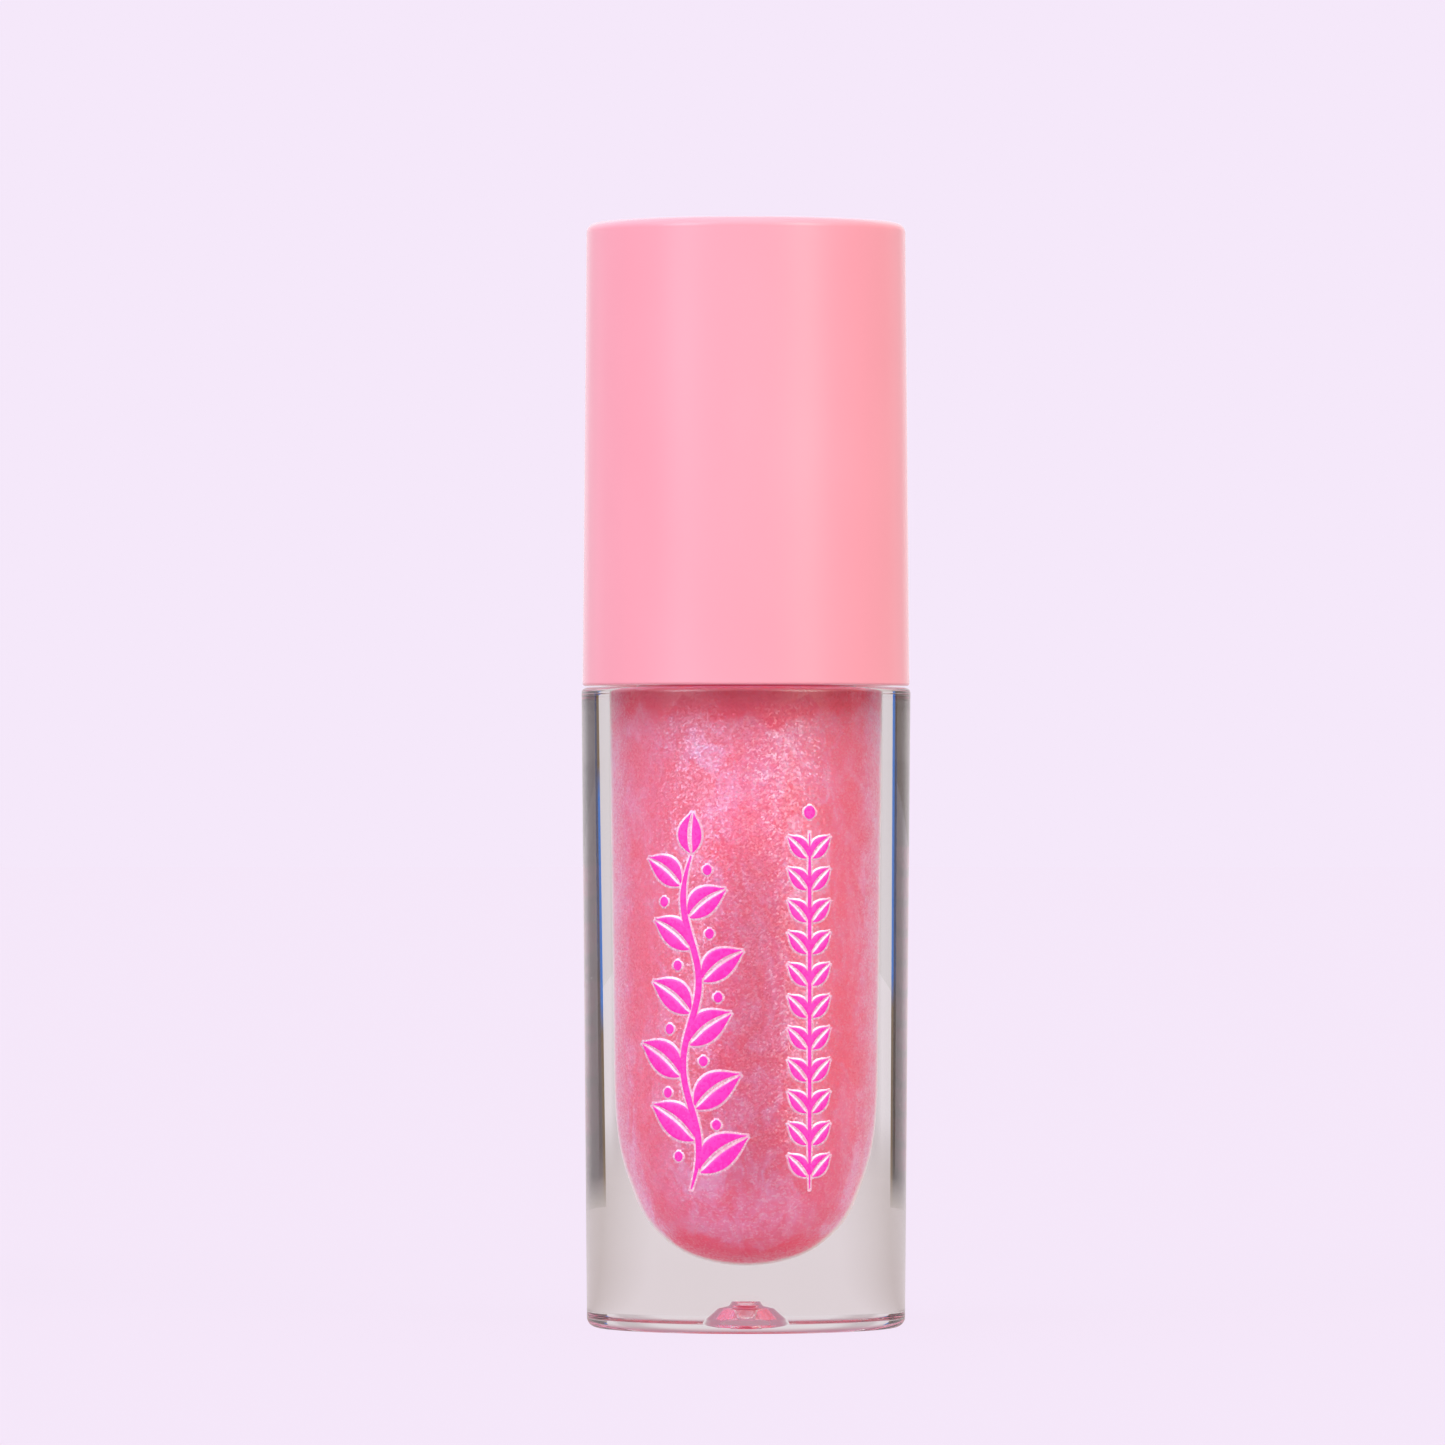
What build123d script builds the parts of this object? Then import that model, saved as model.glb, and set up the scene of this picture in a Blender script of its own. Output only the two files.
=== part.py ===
"""Round screw-cap lip gloss tube with its wand, as separate pieces.

Millimetres. Z is the tube's axis and points up, the origin is the middle of the
base, and the tube stands on z = 0. Every piece is drawn where it sits when the
tube is closed. The doe-foot face of the applicator looks along +X.
"""

from build123d import *
import math
import os

# ---- driving dimensions ------------------------------------------------------

TUBE_DIAMETER = 22.0
TUBE_HEIGHT = 73.7
SHOULDER_Z = 42.7

# bottle: thick clear wall, drafted outside, with a deep round-bottomed bore
BOTTLE_BASE_R = 10.63
BOTTLE_TOP_R = TUBE_DIAMETER / 2
BASE_ROUND = 0.65
SHOULDER_ROUND = 0.35
BORE_FLOOR_Z = 4.3
BORE_R = 5.8
BORE_TAPER_TOP_Z = 17.0
BORE_TAPER_TOP_R = 5.56
BORE_FLOOR_CURVE = [(2.41, 0.74), (3.95, 2.55), (4.93, 5.6)]  # radius, height above the floor
BORE_TAPER_SLOPE = 0.012

# gate recess under the floor of the bottle: a low dome with a small step on top
GATE_MOUTH_R = 2.0
GATE_FLANK_R = 1.72
GATE_FLANK_Z = 0.62
GATE_STEP_R = 1.0
GATE_STEP_Z = 1.5
GATE_TOP_R = 0.65
GATE_TOP_Z = 1.9

# neck and its two-start thread, which the inner cap shares
NECK_R = 7.2
NECK_TOP_Z = 57.5
NECK_ROOT_ROUND = 0.4
LIP_ROUND = 0.25
THREAD_STARTS = 2
THREAD_LEAD = 6.0
THREAD_TURNS = 0.85
THREAD_BOTTOM_Z = 46.2
THREAD_ROOT_WIDTH = 1.5
THREAD_CREST_WIDTH = 0.7
NECK_THREAD_R = 7.9
CAP_THREAD_R = 7.45
CAP_THREAD_DROP = 1.1
THREAD_BITE = 0.25

# running and seating gaps, and how deep a rib or a boss is sunk into what carries it
SEAT_GAP = 0.02
PRESS_GAP = 0.03
CAP_GAP = 0.12
ROOT_SINK = 0.2

# wiper: thin soft plug with a flange on the neck's lip and an orifice below
WIPER_FLANGE_R = 6.9
WIPER_FLANGE_T = 0.6
WIPER_WALL = 0.75
WIPER_BOTTOM_Z = 46.8
WIPER_CONE_HEIGHT = 3.4
WIPER_ORIFICE_R = 2.3
WIPER_LIP_HEIGHT = 0.8
WIPER_MOUTH_CHAMFER = 0.5

# gloss fill, with the straight well that the wand stands in
GLOSS_TOP_Z = 46.3
WELL_R = 2.36
WELL_FLOOR_Z = 5.7

# wand: stem, pressed-in nib and its flocking
STEM_R = 2.2
STEM_END_Z = 20.0
STEM_BORE_R = 1.3
STEM_BORE_DEPTH = 9.0
STEM_COLLAR_R = 3.7
STEM_COLLAR_T = 0.85
STEM_HEAD_R = 2.6
STEM_HEAD_HEIGHT = 6.6
STEM_HEAD_NECK_R = 2.35
STEM_RIB_COUNT = 3
STEM_RIB_START = 0.5
STEM_RIB_LAND = 0.3
STEM_RIB_HEIGHT = 1.3
FLOCK_R = 2.26
FLOCK_T = 0.5
FLOCK_END_Z = 5.95
FACE_ANGLE = 14.0
FACE_TOP_Z = 14.5
NIB_SHANK_LENGTH = 8.4
NIB_SHANK_R = 1.15
NIB_BARB_HEIGHTS = [2.0, 4.5, 7.0]
NIB_BARB_LENGTH = 0.8

# sealing washer
GASKET_T = 1.02
GASKET_INNER_R = 3.85
GASKET_OUTER_R = 7.75
GASKET_CHAMFER = 0.12

# inner cap
INNER_CAP_BOTTOM_Z = 43.15
INNER_CAP_R = 9.15
INNER_CAP_BORE_R = 8.05
INNER_PLATE_Z = 59.2
INNER_PLATE_T = 1.4
INNER_CAP_CHAMFER = 0.5
INNER_MOUTH_CHAMFER = 0.4
SPLINE_COUNT = 24
SPLINE_WIDTH = 0.6
SPLINE_BOTTOM_Z = 45.0
SPLINE_TOP_DROP = 1.0
SOCKET_WALL = 1.1
SOCKET_END_GAP = 0.4
SOCKET_END_T = 1.0
BOSS_CHAMFER = 0.4
GUSSET_COUNT = 4
GUSSET_T = 0.9
GUSSET_HEIGHT = 2.6
GUSSET_OUTER_R = 6.2

# overcap
OVERCAP_BOTTOM_Z = SHOULDER_Z + CAP_GAP
OVERCAP_BOTTOM_R = 10.93
OVERCAP_TOP_R = 10.66
OVERCAP_TOP_ROUND = 0.6
OVERCAP_RIM_ROUND = 0.18
OVERCAP_BORE_R = 9.38
OVERCAP_TOP_T = 1.6
OVERCAP_MOUTH_CHAMFER = 0.3
CEILING_R = 9.1
CEILING_STEP_START = 0.1  # where the bore narrows to CEILING_R, above the inner cap
CEILING_STEP_END = 0.6
STOP_RIB_COUNT = 8
STOP_RIB_T = 0.8
STOP_RIB_INNER_R = 6.8
CEILING_RING_INNER_R = 4.0
CEILING_RING_WALL = 0.8
CEILING_RING_BOTTOM_Z = 64.5

# ---- worked out from the above -----------------------------------------------

WIPER_TOP_Z = NECK_TOP_Z + SEAT_GAP + WIPER_FLANGE_T
GASKET_BOTTOM_Z = WIPER_TOP_Z + SEAT_GAP
INNER_CAP_TOP_Z = INNER_PLATE_Z + INNER_PLATE_T
STEM_COLLAR_Z = INNER_PLATE_Z - STEM_COLLAR_T - SEAT_GAP
STEM_HEAD_TOP_Z = INNER_PLATE_Z + STEM_HEAD_HEIGHT
SOCKET_R = STEM_HEAD_R + PRESS_GAP
SOCKET_TOP_Z = STEM_HEAD_TOP_Z + SOCKET_END_GAP
BOSS_R = SOCKET_R + SOCKET_WALL
BOSS_TOP_Z = SOCKET_TOP_Z + SOCKET_END_T
CEILING_Z = TUBE_HEIGHT - OVERCAP_TOP_T


# ---- shared shapes -----------------------------------------------------------


def turned(curves):
    """A solid of revolution about Z from the curves (r, z) round its half section."""
    edges = [edge for curve in curves for edge in curve.edges()]
    return revolve(Plane.XZ * make_face(edges), Axis.Z)


def turned_polygon(points):
    """A solid of revolution about Z from the corners (r, z) of its half section."""
    return revolve(Plane.XZ * make_face(Polyline(*points, close=True)), Axis.Z)


def rod(radius, bottom_z, top_z):
    """A round bar on the Z axis."""
    bar = Cylinder(radius, top_z - bottom_z, align=(Align.CENTER, Align.CENTER, Align.MIN))
    return Pos(0, 0, bottom_z) * bar


def tube(outer_r, inner_r, bottom_z, top_z):
    """A straight sleeve on the Z axis."""
    return rod(outer_r, bottom_z, top_z) - rod(inner_r, bottom_z, top_z)


def thread_ridges(root_r, crest_r, bottom_z):
    """Every start of the thread, as helical ridges that taper from root to crest.

    The root is sunk into the wall that carries it by THREAD_BITE.
    """
    outward = 1 if crest_r > root_r else -1
    sunk_r = root_r - outward * THREAD_BITE
    half_root, half_crest = THREAD_ROOT_WIDTH / 2, THREAD_CREST_WIDTH / 2
    helix = Helix(
        pitch=THREAD_LEAD,
        height=THREAD_LEAD * THREAD_TURNS,
        radius=root_r,
        center=(0, 0, bottom_z),
    )
    section = Plane.XZ * make_face(
        Polyline(
            (sunk_r, bottom_z - half_root),
            (root_r, bottom_z - half_root),
            (crest_r, bottom_z - half_crest),
            (crest_r, bottom_z + half_crest),
            (root_r, bottom_z + half_root),
            (sunk_r, bottom_z + half_root),
            close=True,
        )
    )
    ridge = sweep(section, path=helix, is_frenet=True)
    return [Rot(0, 0, 360 / THREAD_STARTS * start) * ridge for start in range(THREAD_STARTS)]


def spokes(count, inner_r, outer_r, thickness, bottom_z, top_z):
    """Flat radial ribs, evenly spaced round the Z axis."""
    length = outer_r - inner_r
    rib = Pos(inner_r + length / 2, 0, (bottom_z + top_z) / 2) * Box(length, thickness, top_z - bottom_z)
    return [Rot(0, 0, 360 / count * i) * rib for i in range(count)]


def ring(solid, radius, z):
    """The solid's circular edge nearest to that radius and height."""
    circles = solid.edges().filter_by(GeomType.CIRCLE)
    return min(circles, key=lambda e: abs(e.radius - radius) + abs(e.center().Z - z))


def joined(solid, additions):
    """The solid with each addition fused on, one after another."""
    for addition in additions:
        solid = solid + addition
    return solid


def bore_wall():
    """The bottle's inner wall, from the middle of its floor up to the shoulder, as edges."""
    taper = Spline(
        (0, BORE_FLOOR_Z),
        *[(r, BORE_FLOOR_Z + rise) for r, rise in BORE_FLOOR_CURVE],
        (BORE_TAPER_TOP_R, BORE_TAPER_TOP_Z),
        tangents=[(1, 0), (BORE_TAPER_SLOPE, 1)],
    )
    wall = Line((BORE_TAPER_TOP_R, BORE_TAPER_TOP_Z), (BORE_R, SHOULDER_Z))
    return [taper, wall]


# ---- the bottle and what stays in it -----------------------------------------


def make_bottle():
    """Clear thick-walled bottle with a threaded neck and a gate recess underneath."""
    outline = Polyline(
        (0, GATE_TOP_Z),
        (GATE_TOP_R, GATE_TOP_Z),
        (GATE_STEP_R, GATE_STEP_Z),
        (GATE_FLANK_R, GATE_FLANK_Z),
        (GATE_MOUTH_R, 0),
        (BOTTLE_BASE_R, 0),
        (BOTTLE_TOP_R, SHOULDER_Z),
        (NECK_R, SHOULDER_Z),
        (NECK_R, NECK_TOP_Z),
        (BORE_R, NECK_TOP_Z),
        (BORE_R, SHOULDER_Z),
    )
    axis_edge = Line((0, BORE_FLOOR_Z), (0, GATE_TOP_Z))
    body = turned([outline, *bore_wall(), axis_edge])
    for radius, z, rounding in (
        (BOTTLE_BASE_R, 0, BASE_ROUND),
        (BOTTLE_TOP_R, SHOULDER_Z, SHOULDER_ROUND),
        (NECK_R, SHOULDER_Z, NECK_ROOT_ROUND),
        (NECK_R, NECK_TOP_Z, LIP_ROUND),
    ):
        body = fillet(ring(body, radius, z), rounding)
    return joined(body, thread_ridges(NECK_R, NECK_THREAD_R, THREAD_BOTTOM_Z))


def make_gloss():
    """The gloss fill, up to just under the wiper, round a straight well for the wand."""
    outline = [*bore_wall(), Polyline((BORE_R, SHOULDER_Z), (BORE_R, GLOSS_TOP_Z), (0, GLOSS_TOP_Z))]
    axis_edge = Line((0, GLOSS_TOP_Z), (0, BORE_FLOOR_Z))
    fill = turned([*outline, axis_edge])
    fill = offset_inward(fill)
    return fill - rod(WELL_R, WELL_FLOOR_Z, GLOSS_TOP_Z)


def offset_inward(fill):
    """The fill shrunk towards the axis by the seating gap, so that it only touches the bore."""
    shrink = 1 - SEAT_GAP / BORE_R
    lift = BORE_FLOOR_Z * (1 - shrink) + SEAT_GAP
    return Pos(0, 0, lift) * scale(fill, shrink)


def make_wiper():
    """Soft wiper: flange on the lip, straight plug in the neck, cone and round orifice."""
    plug_r = BORE_R - PRESS_GAP
    inner_r = plug_r - WIPER_WALL
    cone_top_z = WIPER_BOTTOM_Z + WIPER_LIP_HEIGHT + WIPER_CONE_HEIGHT
    lip_top_z = WIPER_BOTTOM_Z + WIPER_LIP_HEIGHT
    lip_r = WIPER_ORIFICE_R + WIPER_WALL
    flange_z = NECK_TOP_Z + SEAT_GAP
    return turned_polygon(
        [
            (WIPER_ORIFICE_R, WIPER_BOTTOM_Z),
            (lip_r, WIPER_BOTTOM_Z),
            (lip_r, lip_top_z),
            (plug_r, cone_top_z),
            (plug_r, flange_z),
            (WIPER_FLANGE_R, flange_z),
            (WIPER_FLANGE_R, WIPER_TOP_Z),
            (inner_r + WIPER_MOUTH_CHAMFER, WIPER_TOP_Z),
            (inner_r, WIPER_TOP_Z - WIPER_MOUTH_CHAMFER),
            (inner_r, cone_top_z + WIPER_WALL / 2),
            (WIPER_ORIFICE_R, lip_top_z + WIPER_WALL / 8),
        ]
    )


# ---- the cap and what hangs in it --------------------------------------------


def make_gasket():
    """Flat sealing washer between the neck's lip and the inner cap's plate."""
    washer = tube(GASKET_OUTER_R, GASKET_INNER_R, GASKET_BOTTOM_Z, GASKET_BOTTOM_Z + GASKET_T)
    return chamfer(washer.edges().filter_by(GeomType.CIRCLE), GASKET_CHAMFER)


def make_inner_cap():
    """Threaded inner cap with outside splines and a blind socket for the stem's head."""
    shell = turned_polygon(
        [
            (SOCKET_R, INNER_PLATE_Z),
            (INNER_CAP_BORE_R, INNER_PLATE_Z),
            (INNER_CAP_BORE_R, INNER_CAP_BOTTOM_Z + INNER_MOUTH_CHAMFER),
            (INNER_CAP_BORE_R + INNER_MOUTH_CHAMFER, INNER_CAP_BOTTOM_Z),
            (INNER_CAP_R, INNER_CAP_BOTTOM_Z),
            (INNER_CAP_R, INNER_CAP_TOP_Z - INNER_CAP_CHAMFER),
            (INNER_CAP_R - INNER_CAP_CHAMFER, INNER_CAP_TOP_Z),
            (BOSS_R, INNER_CAP_TOP_Z),
            (BOSS_R, BOSS_TOP_Z - BOSS_CHAMFER),
            (BOSS_R - BOSS_CHAMFER, BOSS_TOP_Z),
            (0, BOSS_TOP_Z),
            (0, SOCKET_TOP_Z),
            (SOCKET_R, SOCKET_TOP_Z),
        ]
    )
    spline_r = OVERCAP_BORE_R - SEAT_GAP
    splines = spokes(
        SPLINE_COUNT,
        INNER_CAP_R - ROOT_SINK,
        spline_r,
        SPLINE_WIDTH,
        SPLINE_BOTTOM_Z,
        INNER_CAP_TOP_Z - SPLINE_TOP_DROP,
    )
    gussets = spokes(
        GUSSET_COUNT,
        BOSS_R - ROOT_SINK,
        GUSSET_OUTER_R,
        GUSSET_T,
        INNER_CAP_TOP_Z - ROOT_SINK,
        INNER_CAP_TOP_Z + GUSSET_HEIGHT,
    )
    ridges = thread_ridges(INNER_CAP_BORE_R, CAP_THREAD_R, THREAD_BOTTOM_Z - CAP_THREAD_DROP)
    return joined(shell, [*splines, *gussets, *ridges])


def make_overcap():
    """Glossy outer cap: drafted shell, stop ribs above the inner cap and a centring ring."""
    shell = turned_polygon(
        [
            (0, CEILING_Z),
            (CEILING_R, CEILING_Z),
            (CEILING_R, INNER_CAP_TOP_Z + CEILING_STEP_END),
            (OVERCAP_BORE_R, INNER_CAP_TOP_Z + CEILING_STEP_START),
            (OVERCAP_BORE_R, OVERCAP_BOTTOM_Z + OVERCAP_MOUTH_CHAMFER),
            (OVERCAP_BORE_R + OVERCAP_MOUTH_CHAMFER, OVERCAP_BOTTOM_Z),
            (OVERCAP_BOTTOM_R, OVERCAP_BOTTOM_Z),
            (OVERCAP_TOP_R, TUBE_HEIGHT),
            (0, TUBE_HEIGHT),
        ]
    )
    shell = fillet(ring(shell, OVERCAP_TOP_R, TUBE_HEIGHT), OVERCAP_TOP_ROUND)
    shell = fillet(ring(shell, OVERCAP_BOTTOM_R, OVERCAP_BOTTOM_Z), OVERCAP_RIM_ROUND)
    stops = spokes(
        STOP_RIB_COUNT,
        STOP_RIB_INNER_R,
        CEILING_R + ROOT_SINK,
        STOP_RIB_T,
        INNER_CAP_TOP_Z + SEAT_GAP,
        CEILING_Z + ROOT_SINK,
    )
    outer_r = CEILING_RING_INNER_R + CEILING_RING_WALL
    centring = tube(outer_r, CEILING_RING_INNER_R, CEILING_RING_BOTTOM_Z, CEILING_Z + ROOT_SINK)
    return joined(shell, [*stops, centring])


def make_stem():
    """Wand rod: ribbed head for the socket, collar under the plate, bored lower end."""
    shaft = rod(STEM_R, STEM_END_Z, STEM_COLLAR_Z + ROOT_SINK)
    collar = rod(STEM_COLLAR_R, STEM_COLLAR_Z, STEM_COLLAR_Z + STEM_COLLAR_T)
    head = rod(STEM_HEAD_NECK_R, STEM_COLLAR_Z + ROOT_SINK, STEM_HEAD_TOP_Z)
    rib_pitch = STEM_HEAD_HEIGHT / STEM_RIB_COUNT
    ribs = [
        turned_polygon(
            [
                (0, z),
                (STEM_HEAD_R, z),
                (STEM_HEAD_R, z + STEM_RIB_LAND),
                (STEM_HEAD_NECK_R, z + STEM_RIB_HEIGHT),
                (0, z + STEM_RIB_HEIGHT),
            ]
        )
        for z in (INNER_PLATE_Z + STEM_RIB_START + i * rib_pitch for i in range(STEM_RIB_COUNT))
    ]
    stem = joined(shaft, [collar, head, *ribs])
    return stem - rod(STEM_BORE_R, STEM_END_Z, STEM_END_Z + STEM_BORE_DEPTH)


def doe_foot(radius, end_z, inset):
    """A round-ended nib with one long slanted face on its +X side.

    inset moves the slanted face inwards, for the core inside the flocking.
    """
    top_z = STEM_END_Z - SEAT_GAP
    nib = rod(radius, end_z + radius, top_z) + Pos(0, 0, end_z + radius) * Sphere(radius)
    angle = math.radians(FACE_ANGLE)
    outward = Vector(math.cos(angle), 0, -math.sin(angle))
    face_top = Vector(FLOCK_R, 0, FACE_TOP_Z) - outward * inset
    block = Box(STEM_END_Z, STEM_END_Z, STEM_END_Z, align=(Align.CENTER, Align.CENTER, Align.MIN))
    return nib - Plane(origin=face_top, z_dir=outward) * block


def make_tip_core():
    """Plastic core of the applicator: slanted nib with a barbed shank for the stem's bore."""
    inset = FLOCK_T + SEAT_GAP
    nib = doe_foot(FLOCK_R - inset, FLOCK_END_Z + inset, inset)
    shank = rod(NIB_SHANK_R, STEM_END_Z - 1, STEM_END_Z + NIB_SHANK_LENGTH)
    barb_r = STEM_BORE_R - PRESS_GAP
    barbs = [
        turned_polygon([(0, z), (barb_r, z), (NIB_SHANK_R, z + NIB_BARB_LENGTH), (0, z + NIB_BARB_LENGTH)])
        for z in (STEM_END_Z + height for height in NIB_BARB_HEIGHTS)
    ]
    return joined(nib, [shank, *barbs])


def make_flocking():
    """The flocked sleeve glued over the nib."""
    hollow = doe_foot(FLOCK_R - FLOCK_T, FLOCK_END_Z + FLOCK_T, FLOCK_T)
    return doe_foot(FLOCK_R, FLOCK_END_Z, 0) - hollow


MAKERS = {
    "bottle": make_bottle,
    "gloss": make_gloss,
    "wiper": make_wiper,
    "gasket": make_gasket,
    "inner_cap": make_inner_cap,
    "overcap": make_overcap,
    "stem": make_stem,
    "tip_core": make_tip_core,
    "flocking": make_flocking,
}

os.makedirs("parts", exist_ok=True)
for name, make in MAKERS.items():
    piece = make()
    piece.label = name
    export_step(piece, f"parts/{name}.step")
    print(f"{name:10s} {piece.volume:9.2f} mm3, valid {piece.is_valid}, solids {len(piece.solids())}")
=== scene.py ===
"""Lip gloss tube: detailed pieces, materials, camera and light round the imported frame."""

import math

import bpy
import bmesh
import numpy as np
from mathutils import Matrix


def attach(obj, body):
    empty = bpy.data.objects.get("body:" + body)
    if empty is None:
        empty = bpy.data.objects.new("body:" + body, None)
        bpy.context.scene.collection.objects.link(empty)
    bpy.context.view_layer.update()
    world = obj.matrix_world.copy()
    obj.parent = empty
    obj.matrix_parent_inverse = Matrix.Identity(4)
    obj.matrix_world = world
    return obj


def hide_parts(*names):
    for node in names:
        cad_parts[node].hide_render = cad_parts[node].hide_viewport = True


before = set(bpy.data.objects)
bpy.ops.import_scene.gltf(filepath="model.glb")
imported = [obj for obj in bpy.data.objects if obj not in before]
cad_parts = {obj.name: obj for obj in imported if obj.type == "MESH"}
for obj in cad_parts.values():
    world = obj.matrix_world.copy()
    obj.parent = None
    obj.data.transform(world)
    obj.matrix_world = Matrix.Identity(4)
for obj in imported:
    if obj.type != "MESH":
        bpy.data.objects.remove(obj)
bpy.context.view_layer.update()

MM = 0.001

# ---- sizes, in millimetres ---------------------------------------------------

SEGMENTS = 288

SHOULDER_Z = 42.7
BASE_R = 10.63
SHOULDER_R = 11.0
BORE_R = 5.8
BORE_TAPER_TOP = (5.595, 17.0)
BORE_FLOOR_Z = 4.3
NECK_R = 7.2
NECK_TOP_Z = 57.5
THREAD_STARTS = 2
THREAD_LEAD = 6.0
THREAD_TURNS = 0.85
THREAD_BOTTOM_Z = 46.2
THREAD_HEIGHT = 0.7
THREAD_HALF_ROOT = 0.75
THREAD_HALF_CREST = 0.35
THREAD_RUNOUT_TURNS = 0.05
GLOSS_TOP_Z = 46.2
GLOSS_CONTACT = 0.015
OVERCAP_BOTTOM_Z = 42.82
OVERCAP_BOTTOM_R = 10.93
OVERCAP_TOP_R = 10.66
OVERCAP_TOP_Z = 73.7
OVERCAP_BORE_R = 9.38
CEILING_Z = 72.1
CEILING_R = 9.1
INNER_CAP_TOP_Z = 60.6
GATE_RECESS = [(0, 1.9, 0), (0.62, 1.9, 0.1), (0.74, 1.6, 0.1), (1.2, 1.44, 0.3), (1.74, 0.7, 0.4)]
GATE_RECESS_R = 2.0

BOTTLE_BODY = "bottle_body"
CAP_BODY = "cap_body"


# ---- mesh helpers ------------------------------------------------------------


def rounded(corners, step_deg=9.0, hold=0.05):
    """An outline through (r, z, radius) corners; each corner with a radius is an arc.

    A point just outside each end of an arc keeps the straight stretches flat in shading.
    """
    points = []
    for i, (r, z, radius) in enumerate(corners):
        here = np.array((r, z))
        if radius == 0 or i in (0, len(corners) - 1):
            points.append((r, z))
            continue
        before = np.array(corners[i - 1][:2]) - here
        after = np.array(corners[i + 1][:2]) - here
        before /= np.linalg.norm(before)
        after /= np.linalg.norm(after)
        half = math.acos(np.clip(before @ after, -1, 1)) / 2
        middle = (before + after) / np.linalg.norm(before + after)
        centre = here + middle * radius / math.sin(half)
        start = here + before * radius / math.tan(half) - centre
        end = here + after * radius / math.tan(half) - centre
        a0, a1 = math.atan2(start[1], start[0]), math.atan2(end[1], end[0])
        turn = (a1 - a0 + math.pi) % (2 * math.pi) - math.pi
        count = max(2, math.ceil(abs(math.degrees(turn)) / step_deg))
        reach = radius / math.tan(half) + hold
        points.append(tuple(here + before * reach))
        for k in range(count + 1):
            a = a0 + turn * k / count
            points.append(tuple(centre + radius * np.array((math.cos(a), math.sin(a)))))
        points.append(tuple(here + after * reach))
    return points


def hermite(points, start, end, per_span=10):
    """A smooth curve through the points, with those directions at its two ends."""
    pts = [np.array(p, float) for p in points]
    spans = [np.linalg.norm(b - a) for a, b in zip(pts, pts[1:])]
    slopes = [np.array(start, float)]
    for i in range(1, len(pts) - 1):
        back = (pts[i] - pts[i - 1]) / spans[i - 1]
        ahead = (pts[i + 1] - pts[i]) / spans[i]
        slopes.append((back * spans[i] + ahead * spans[i - 1]) / (spans[i] + spans[i - 1]))
    slopes.append(np.array(end, float))
    curve = []
    for i, length in enumerate(spans):
        for k in range(per_span):
            t = k / per_span
            h = (2 * t**3 - 3 * t**2 + 1, t**3 - 2 * t**2 + t, 3 * t**2 - 2 * t**3, t**3 - t**2)
            p = h[0] * pts[i] + h[1] * length * slopes[i] + h[2] * pts[i + 1]
            curve.append(tuple(p + h[3] * length * slopes[i + 1]))
    return [*curve, tuple(pts[-1])]


def lathe(outline, swell=None):
    """Vertices (metres) and faces of a surface turned about Z from (r, z) points in mm.

    An outline that starts and ends on the axis closes there; any other one closes on itself.
    swell(r, z, angle) may add to the radius.
    """
    angles = np.arange(SEGMENTS) * 2 * math.pi / SEGMENTS
    cos, sin = np.cos(angles), np.sin(angles)
    verts, rows = [], []
    for r, z in outline:
        if r < 1e-6:
            rows.append([len(verts)] * SEGMENTS)
            verts.append((0.0, 0.0, z * MM))
            continue
        radii = np.full(SEGMENTS, float(r))
        if swell is not None:
            radii = radii + swell(r, z, angles)
        rows.append(list(range(len(verts), len(verts) + SEGMENTS)))
        verts += [(a * MM, b * MM, z * MM) for a, b in zip(radii * cos, radii * sin)]
    on_axis = outline[0][0] < 1e-6 and outline[-1][0] < 1e-6
    pairs = list(zip(rows, rows[1:])) + ([] if on_axis else [(rows[-1], rows[0])])
    faces = []
    for low, high in pairs:
        for i in range(SEGMENTS):
            j = (i + 1) % SEGMENTS
            face = list(dict.fromkeys([low[i], low[j], high[j], high[i]]))
            if len(face) > 2:
                faces.append(face)
    return verts, faces


def piece(name, shape, material, body, replaces=(), sharp_deg=35):
    """A closed mesh object with outward normals, its material, body and replaced nodes."""
    verts, faces = shape
    mesh = bpy.data.meshes.new(name)
    mesh.from_pydata(verts, [], faces)
    work = bmesh.new()
    work.from_mesh(mesh)
    bmesh.ops.recalc_face_normals(work, faces=work.faces)
    work.to_mesh(mesh)
    work.free()
    mesh.shade_smooth()
    mesh.set_sharp_from_angle(angle=math.radians(sharp_deg))
    obj = bpy.data.objects.new(name, mesh)
    bpy.context.scene.collection.objects.link(obj)
    mesh.materials.append(material)
    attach(obj, body)
    if replaces:
        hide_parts(*replaces)


def merged(*shapes):
    """Several shapes as one."""
    verts, faces = [], []
    for v, f in shapes:
        first = len(verts)
        verts += v
        faces += [[i + first for i in face] for face in f]
    return verts, faces


# ---- node helpers ------------------------------------------------------------


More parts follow.
